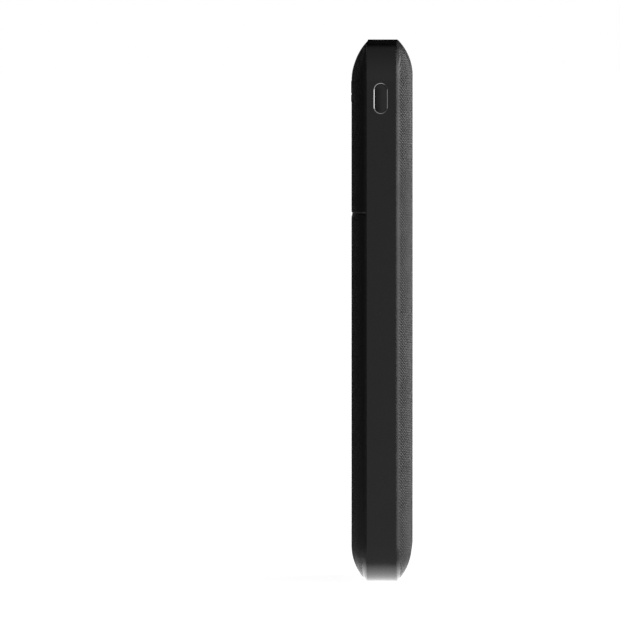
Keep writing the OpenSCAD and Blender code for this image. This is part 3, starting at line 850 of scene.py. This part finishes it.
def band_finish(name, base):
    """Satin anodised metal: faint blasting grain, handling marks and a bright-cut bevel."""
    f = moulded(name, base, 0.25, 0.07, 0.0008, IOR=1.65)
    lines = f.noise(0.25, 3, stretch=(1, 1, 0.04))
    f.vary_rough(f.remap(lines, 0.45, 0.75), 0, 0.05)
    rubbed = f.combine("MULTIPLY", f.attribute("wear"), f.remap(f.noise(1.2, 6), 0.4, 0.7, 0, 0.7))
    f.tint(rubbed, scaled(base, 2.2))
    bright = f.attribute("bright")
    f.tint(bright, (0.92, 0.92, 0.93))
    f.links.new(bright, f.shader.inputs["Metallic"])
    f.vary_rough(bright, 0, -0.12)
    return f.done()


def metal(name, base, rough, line_mm=0.05, stretch=(1, 1, 0.03), tarnish=None):
    """Metal with fine drawing lines and uneven tarnish."""
    f = Finish(name, base, rough - 0.05, 1.0)
    f.tint(f.remap(f.noise(2.5, 6), 0.35, 0.75, 0, 0.6), tarnish or scaled(base, 0.78))
    f.vary_rough(f.remap(f.noise(line_mm, 2, stretch), 0.3, 0.7), 0, 0.14)
    f.raise_by(f.noise(line_mm, 2, stretch), 0.0012)
    return f.done()


def board_finish(name):
    """Solder mask over copper: raised traces and a speckle of vias."""
    base = (0.012, 0.085, 0.04)
    f = Finish(name, base, 0.3, 0.0, Coat_Weight=0.3)
    brick = f.nodes.new("ShaderNodeTexBrick")
    brick.inputs["Scale"].default_value = 420
    brick.inputs["Mortar Size"].default_value = 0.012
    brick.inputs["Color1"].default_value = (0, 0, 0, 1)
    brick.inputs["Color2"].default_value = (0.25, 0.25, 0.25, 1)
    brick.inputs["Mortar"].default_value = (1, 1, 1, 1)
    turned = f.nodes.new("ShaderNodeMapping")
    turned.inputs["Rotation"].default_value = (math.pi / 2, 0, 0)
    f.links.new(f.place, turned.inputs["Vector"])
    f.links.new(turned.outputs["Vector"], brick.inputs["Vector"])
    f.tint(brick.outputs["Color"], (0.03, 0.16, 0.075))
    via = f.remap(f.cells(1.7), 0.16, 0.12)
    f.tint(via, (0.35, 0.33, 0.28))
    f.vary_rough(f.noise(2.0), -0.05, 0.15)
    f.raise_by(brick.outputs["Color"], 0.02)
    f.raise_by(f.noise(0.15), 0.002)
    return f.done()


def pouch_finish(name):
    """Laminated pouch foil: soft creases over a fine emboss."""
    base = (0.56, 0.57, 0.58)
    f = Finish(name, base, 0.34, 0.85)
    f.tint(f.remap(f.noise(6, 5), 0.35, 0.7, 0, 0.5), (0.42, 0.42, 0.44))
    f.vary_rough(f.noise(1.5, 4), -0.06, 0.14)
    f.raise_by(f.noise(11, 3), 0.25)
    f.raise_by(f.cells(0.5), 0.006)
    return f.done()


def foam_finish(name, base):
    """Foam: small open cells of uneven size."""
    f = Finish(name, base, 0.92)
    f.tint(f.remap(f.cells(0.35), 0.1, 0.6), scaled(base, 1.9))
    f.raise_by(f.cells(0.35), 0.08)
    f.raise_by(f.noise(0.12, 3), 0.02)
    return f.done()


def fired(name, base, rough, size_mm=0.2):
    """Ceramic and ferrite bodies: fine grains and a dusty bloom."""
    f = Finish(name, base, rough - 0.05)
    f.tint(f.remap(f.cells(size_mm), 0.2, 0.7), scaled(base, 1.35))
    f.tint(f.remap(f.noise(1.5, 5), 0.45, 0.75, 0, 0.6), scaled(base, 0.7))
    f.vary_rough(f.noise(0.8), 0, 0.12)
    f.raise_by(f.cells(size_mm), 0.006)
    return f.done()


def wire_finish(name, base):
    """Silicone wire: a dusty satin sheath with faint rings from its extrusion."""
    f = Finish(name, base, 0.42)
    f.tint(f.remap(f.noise(1.2, 5), 0.4, 0.7, 0, 0.5), scaled(base, 1.5))
    f.vary_rough(f.noise(0.6), 0, 0.15)
    f.raise_by(f.noise(0.3, 2, stretch=(0.2, 0.2, 2)), 0.01)
    return f.done()


def clear_finish(name, base, transmission):
    """Clear or milky moulded plastic with haze inside."""
    f = Finish(name, base, 0.12, IOR=1.49, Transmission_Weight=transmission)
    f.tint(f.remap(f.noise(0.9, 5), 0.4, 0.7, 0, 0.5), scaled(base, 0.85))
    f.vary_rough(f.noise(0.5), 0, 0.15)
    f.raise_by(f.noise(0.2), 0.003)
    return f.done()


CHARCOAL = (0.0135, 0.0135, 0.014)
GRAPHITE = (0.007, 0.007, 0.0072)
BLACK = (0.012, 0.012, 0.013)
STEEL = (0.56, 0.56, 0.57)


def finishes():
    """Every CAD node's material, by node name."""
    package = moulded("package", (0.014, 0.014, 0.016), 0.55, 0.1, 0.004).done()
    board = board_finish("solder_mask")
    pouch = pouch_finish("pouch_foil")
    tin = metal("tinned_metal", (0.6, 0.6, 0.6), 0.3)
    foam = foam_finish("foam", (0.016, 0.016, 0.017))
    return {
        "mid_frame": band_finish("band_satin", GRAPHITE),
        "power_button": band_finish("button_satin", scaled(GRAPHITE, 1.1)),
        "front_cover": cover_finish("cover_relief", CHARCOAL),
        "front_accent_panel": cover_finish("panel_relief", scaled(CHARCOAL, 1.02)),
        "back_cover": cover_finish("back_relief", CHARCOAL),
        "inner_chassis": moulded("chassis_plastic", BLACK, 0.5, 0.15, 0.004).done(),
        "switch_body": moulded("switch_plastic", BLACK, 0.5).done(),
        "switch_cover_plate": metal("plate_steel", STEEL, 0.32),
        "switch_plunger": moulded("plunger_plastic", (0.06, 0.06, 0.063), 0.45).done(),
        "switch_dome": metal("spring_steel", (0.6, 0.58, 0.54), 0.25),
        "main_board": board,
        "protection_board": board,
        "board_insulator": moulded("insulator_sheet", (0.42, 0.3, 0.12), 0.42, 0.4, 0.004).done(),
        "board_screws": metal("zinc", (0.5, 0.5, 0.52), 0.34, 0.08, (1, 1, 1)),
        "charge_controller": package,
        "port_controller": package,
        "power_mosfets": package,
        "protection_chips": package,
        "power_inductor": fired("ferrite", (0.05, 0.05, 0.052), 0.6),
        "inductor_terminals": tin,
        "polymer_capacitors": metal("drawn_can", (0.68, 0.69, 0.7), 0.28),
        "ceramic_capacitors": fired("capacitor_ceramic", (0.3, 0.19, 0.09), 0.45, 0.1),
        "chip_resistors": fired("resistor_glaze", (0.02, 0.02, 0.021), 0.35, 0.1),
        "led_chips": clear_finish("lamp_lens", (0.72, 0.68, 0.45), 0.3),
        "lamp_window": clear_finish("smoked_window", (0.02, 0.02, 0.022), 0.35),
        "badge_plate": metal("badge_metal", (0.05, 0.05, 0.052), 0.3),
        "light_pipe": clear_finish("light_pipe", (0.78, 0.8, 0.8), 0.85),
        "usb_c_shell": metal("port_steel", (0.62, 0.62, 0.63), 0.26, stretch=(0.03, 1, 1)),
        "usb_c_tongue": moulded("tongue_plastic", (0.05, 0.05, 0.052), 0.4).done(),
        "usb_c_contacts": metal("gold_plate", (0.83, 0.6, 0.25), 0.25, stretch=(0.05, 1, 1)),
        "front_cell": pouch,
        "back_cell": pouch,
        "cell_tape": foam_finish("tape", (0.09, 0.09, 0.092)),
        "cell_tabs": metal("nickel_strip", (0.55, 0.52, 0.47), 0.33),
        "front_foam_pad": foam,
        "back_foam_pad": foam,
        "thermistor": fired("coated_bead", (0.05, 0.02, 0.01), 0.3),
        "battery_lead_red": wire_finish("red_wire", (0.35, 0.015, 0.012)),
        "battery_lead_black": wire_finish("black_wire", BLACK),
    }


def dress(obj, material):
    """Gives an object one material."""
    obj.data.materials.clear()
    obj.data.materials.append(material)


# ---- Wear, relief and a painted highlight as attributes ----

# How fast the wear fades from the rim and from the groove, how near the outer form a point counts as
# part of it, and a distance that stands for far away.
RIM_WEAR = 0.35
GROOVE_WEAR = 0.5
SKIN = 0.3
FAR = 9.0

# A bevel face that gets the painted highlight lies this near the panel's edge and turns this much
# towards it.
BEVEL_REACH = 1.0
BEVEL_FACING = (0.5, 0.9)


def mark(obj, values, name):
    """Stores one number per vertex under a name."""
    attribute = obj.data.attributes.new(name, "FLOAT", "POINT")
    attribute.data.foreach_set("value", np.asarray(values, np.float32))


def points_mm(obj):
    """An object's vertices in millimetres, one row each."""
    co = np.empty(len(obj.data.vertices) * 3, np.float32)
    obj.data.vertices.foreach_get("co", co)
    return co.reshape(-1, 3).astype(float) / MM


def mark_cover(obj, side, with_panel_edge):
    """Crest height of the relief, and wear along the rim and along the groove's edges."""
    p = points_mm(obj)
    x, z, depth = p[:, 0], p[:, 2] - MID_Z, side * p[:, 1] - HALF_BAND
    distance = rim_distance(x, z, side)
    below = pillow_depth(np.maximum(distance, 0)) - depth
    mark(obj, np.clip(1 - below / RELIEF_H, 0, 1), "peak")
    wear = np.exp(-np.maximum(distance, 0) / RIM_WEAR)
    if with_panel_edge:
        line, _ = panel_outline()
        gap = np.full(len(p), FAR)
        near = np.abs(below) < SKIN
        for px, pz in line:
            gap[near] = np.minimum(gap[near], np.hypot(x[near] - px, z[near] - pz))
        wear = np.maximum(wear, np.exp(-gap / GROOVE_WEAR))
    mark(obj, np.clip(wear, 0, 1), "wear")


def mark_painted_bevel_highlight(obj):
    """Marks the faces of the bevel along the panel's free edge, where a highlight is painted."""
    mesh = obj.data
    count = len(mesh.polygons)
    centre, normal = np.empty(count * 3, np.float32), np.empty(count * 3, np.float32)
    mesh.polygons.foreach_get("center", centre)
    mesh.polygons.foreach_get("normal", normal)
    centre, normal = centre.reshape(-1, 3) / MM, normal.reshape(-1, 3)
    line, outward_normal = panel_outline()
    gap, facing = np.full(count, FAR), np.zeros(count)
    for (px, pz), (nx, nz) in zip(line, outward_normal):
        reach = np.hypot(centre[:, 0] - px, centre[:, 2] - MID_Z - pz)
        closer = reach < gap
        gap[closer] = reach[closer]
        facing[closer] = normal[closer, 0] * nx + normal[closer, 2] * nz
    bevel = (gap < BEVEL_REACH) & (facing > BEVEL_FACING[0]) & (facing < BEVEL_FACING[1])
    attribute = mesh.attributes.new("bevel", "FLOAT", "FACE")
    attribute.data.foreach_set("value", bevel.astype(np.float32))


def mark_band(obj):
    """Wear along the band's outer edges, and where the bevel of the button opening is bright-cut."""
    p = points_mm(obj)
    mark(obj, np.clip((np.abs(p[:, 1]) - HALF_BAND + BAND_EDGE_R) / BAND_EDGE_R, 0, 1), "wear")
    straight = (CAP_L - CAP_W) / 2
    along = np.maximum(np.abs(p[:, 2] - BUTTON_Z) - straight, 0)
    beyond = np.hypot(p[:, 1] - BUTTON_Y, along) - CAP_W / 2
    ring = (beyond > 0) & (beyond < CAP_GAP + CAP_BEVEL)
    ring &= (p[:, 0] > HALF_W - BEVEL_DEPTH - 0.01) & (p[:, 0] < HALF_W - 0.01)
    mark(obj, ring.astype(float), "bright")


# ---- Stage ----

# Lights in metres and watts: name, place, power, width, height. The key and edge lights stand on the
# back cover's side, the return and rim lights on the front's. As the camera sees the case, the key
# and rim lights stand a little behind it and the other two a little before it.
LIGHTS = (
    ("key", (-0.57, 1.168, 0.3), 10.2, 1.3, 0.6),
    ("edge", (0.22, 1.28, 0.15), 0.72, 0.5, 0.5),
    ("return", (0.22, -1.28, 0.15), 0.16, 0.5, 0.5),
    ("rim", (-1.1, -0.6, 0.2), 0.36, 0.5, 0.4),
)

# The camera, in metres and degrees: nearly parallel, a little above the case and turned from it.
CAMERA_LENS = 1500
CAMERA_AWAY = 6.874
CAMERA_YAW = 0.4
CAMERA_RISE = 1.8
AIM_ASIDE = -0.0192

FLOOR_HALF = 6.0


def studio():
    """A white floor and backdrop, four soft lights, and a camera on the button edge."""
    scene = bpy.context.scene
    scene.view_settings.view_transform = "Standard"
    corners = [(x * FLOOR_HALF, y * FLOOR_HALF, 0) for x, y in ((-1, -1), (1, -1), (1, 1), (-1, 1))]
    mesh = bpy.data.meshes.new("floor")
    mesh.from_pydata(corners, [], [(0, 1, 2, 3)])
    floor = bpy.data.objects.new("floor", mesh)
    scene.collection.objects.link(floor)
    dress(floor, floor_finish())
    scene.world = white_world()
    for light in LIGHTS:
        area_light(*light)

    camera = bpy.data.cameras.new("camera")
    camera.lens, camera.sensor_width = CAMERA_LENS, 36
    camera.clip_start, camera.clip_end = 0.05, 20
    view = bpy.data.objects.new("camera", camera)
    scene.collection.objects.link(view)
    yaw, rise = math.radians(CAMERA_YAW), math.radians(CAMERA_RISE)
    level = math.cos(rise)
    towards = Vector((level * math.cos(yaw), level * math.sin(yaw), math.sin(rise)))
    middle = Vector((0, 0, MID_Z * MM))
    view.location = middle + CAMERA_AWAY * towards
    aim(view, middle + Vector((0, AIM_ASIDE, 0)))
    scene.camera = view


def aim(obj, point):
    """Turns a light or the camera towards a point."""
    obj.rotation_euler = (point - obj.location).to_track_quat("-Z", "Y").to_euler()


def area_light(name, at, power, width, height):
    """A soft light at a point, aimed at the middle of the case."""
    light = bpy.data.lights.new(name, "AREA")
    light.energy = power
    light.shape = "RECTANGLE"
    light.size, light.size_y = width, height
    obj = bpy.data.objects.new(name, light)
    bpy.context.scene.collection.objects.link(obj)
    obj.location = at
    aim(obj, Vector((0, 0, MID_Z * MM)))


def floor_finish():
    """Paper that the camera sees as white, and that lights the case from below.

    It gives light close under the foot, and further off towards the camera, less on the front's side.
    """
    f = Finish("floor", (0.8, 0.8, 0.8), 0.9)
    f.tint(f.remap(f.noise(60), 0.3, 0.7), (0.83, 0.83, 0.83))
    length = f.nodes.new("ShaderNodeVectorMath")
    length.operation = "LENGTH"
    f.links.new(f.place, length.inputs[0])
    radius = length.outputs["Value"]
    apart = f.nodes.new("ShaderNodeSeparateXYZ")
    f.links.new(f.place, apart.inputs["Vector"])
    x, y = apart.outputs["X"], apart.outputs["Y"]
    foot = f.remap(radius, 0.024, 0.036, 4.6, 0.0)
    foot = f.combine("MULTIPLY", foot, f.remap(y, -0.02, -0.01, 0.0, 1.0))
    foot = f.combine("MULTIPLY", foot, f.remap(y, 0.01, 0.02, 1.0, 0.0))
    beyond = f.remap(x, -0.1, 0.04, 0.0, 0.39)
    beyond = f.combine("MULTIPLY", beyond, f.remap(y, -0.12, -0.02, 0.1, 1.0))
    given = f.nodes.new("ShaderNodeEmission")
    f.links.new(f.combine("ADD", foot, beyond), given.inputs["Strength"])
    f.done()
    bright = f.nodes.new("ShaderNodeEmission")
    f.links.new(f.remap(radius, 0.05, 0.4, 0.9, 1.0), bright.inputs["Strength"])
    seen = f.nodes.new("ShaderNodeAddShader")
    f.links.new(f.shader.outputs["BSDF"], seen.inputs[0])
    f.links.new(bright.outputs["Emission"], seen.inputs[1])
    show_camera(f.tree, seen.outputs["Shader"], given.outputs["Emission"], "Material Output")
    return f.material


def white_world():
    """A backdrop that the camera sees as white and that lights the case only faintly.

    It gives most from the camera's side, least from behind the case, and less from the front's side.
    """
    world = bpy.data.worlds.new("studio")
    world.use_nodes = True
    tree = world.node_tree
    nodes, links = tree.nodes, tree.links
    towards = nodes.new("ShaderNodeSeparateXYZ")
    links.new(nodes.new("ShaderNodeTexCoord").outputs["Generated"], towards.inputs["Vector"])
    ramp = nodes.new("ShaderNodeValToRGB")
    stops = ramp.color_ramp.elements
    stops[0].position, stops[1].position = 0.12, 1.0
    stops.new(0.25)
    for stop, level in zip(stops, (0.0, 0.12, 0.39)):
        stop.color = (level, level, level, 1)
    links.new(map_range(tree, towards.outputs["X"], -1.0, 1.0), ramp.inputs["Fac"])
    product = nodes.new("ShaderNodeMath")
    product.operation = "MULTIPLY"
    links.new(ramp.outputs["Color"], product.inputs[0])
    links.new(map_range(tree, towards.outputs["Y"], -0.9, 0.0, 0.16, 1.0), product.inputs[1])
    given = nodes["Background"]
    given.inputs["Color"].default_value = (1, 1, 1, 1)
    links.new(product.outputs["Value"], given.inputs["Strength"])
    seen = nodes.new("ShaderNodeBackground")
    seen.inputs["Color"].default_value = (1, 1, 1, 1)
    show_camera(tree, seen.outputs["Background"], given.outputs["Background"], "World Output")
    return world


def main():
    """Dresses the CAD nodes, makes the detailed pieces and sets the stage."""
    by_node = finishes()
    for node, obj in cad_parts.items():
        dress(obj, by_node[node])
    front, panel, back = make_front_cover(), make_accent_panel(), make_back_cover()
    mark_cover(front, -1, True)
    mark_cover(panel, -1, True)
    mark_painted_bevel_highlight(panel)
    mark_cover(back, 1, False)
    band, button = make_band(), make_button()
    mark_band(band)
    shell, tongue = make_port_shell(), make_tongue()
    window, badge = make_inlay("lamp_window", "window"), make_inlay("badge_plate", "badge")
    pads = make_pad("front_foam_pad", "front_pad"), make_pad("back_foam_pad", "back_pad")
    for obj in (front, panel, back, band, button, shell, tongue, window, badge, *pads):
        dress(obj, by_node[obj["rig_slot"]])
    studio()


main()
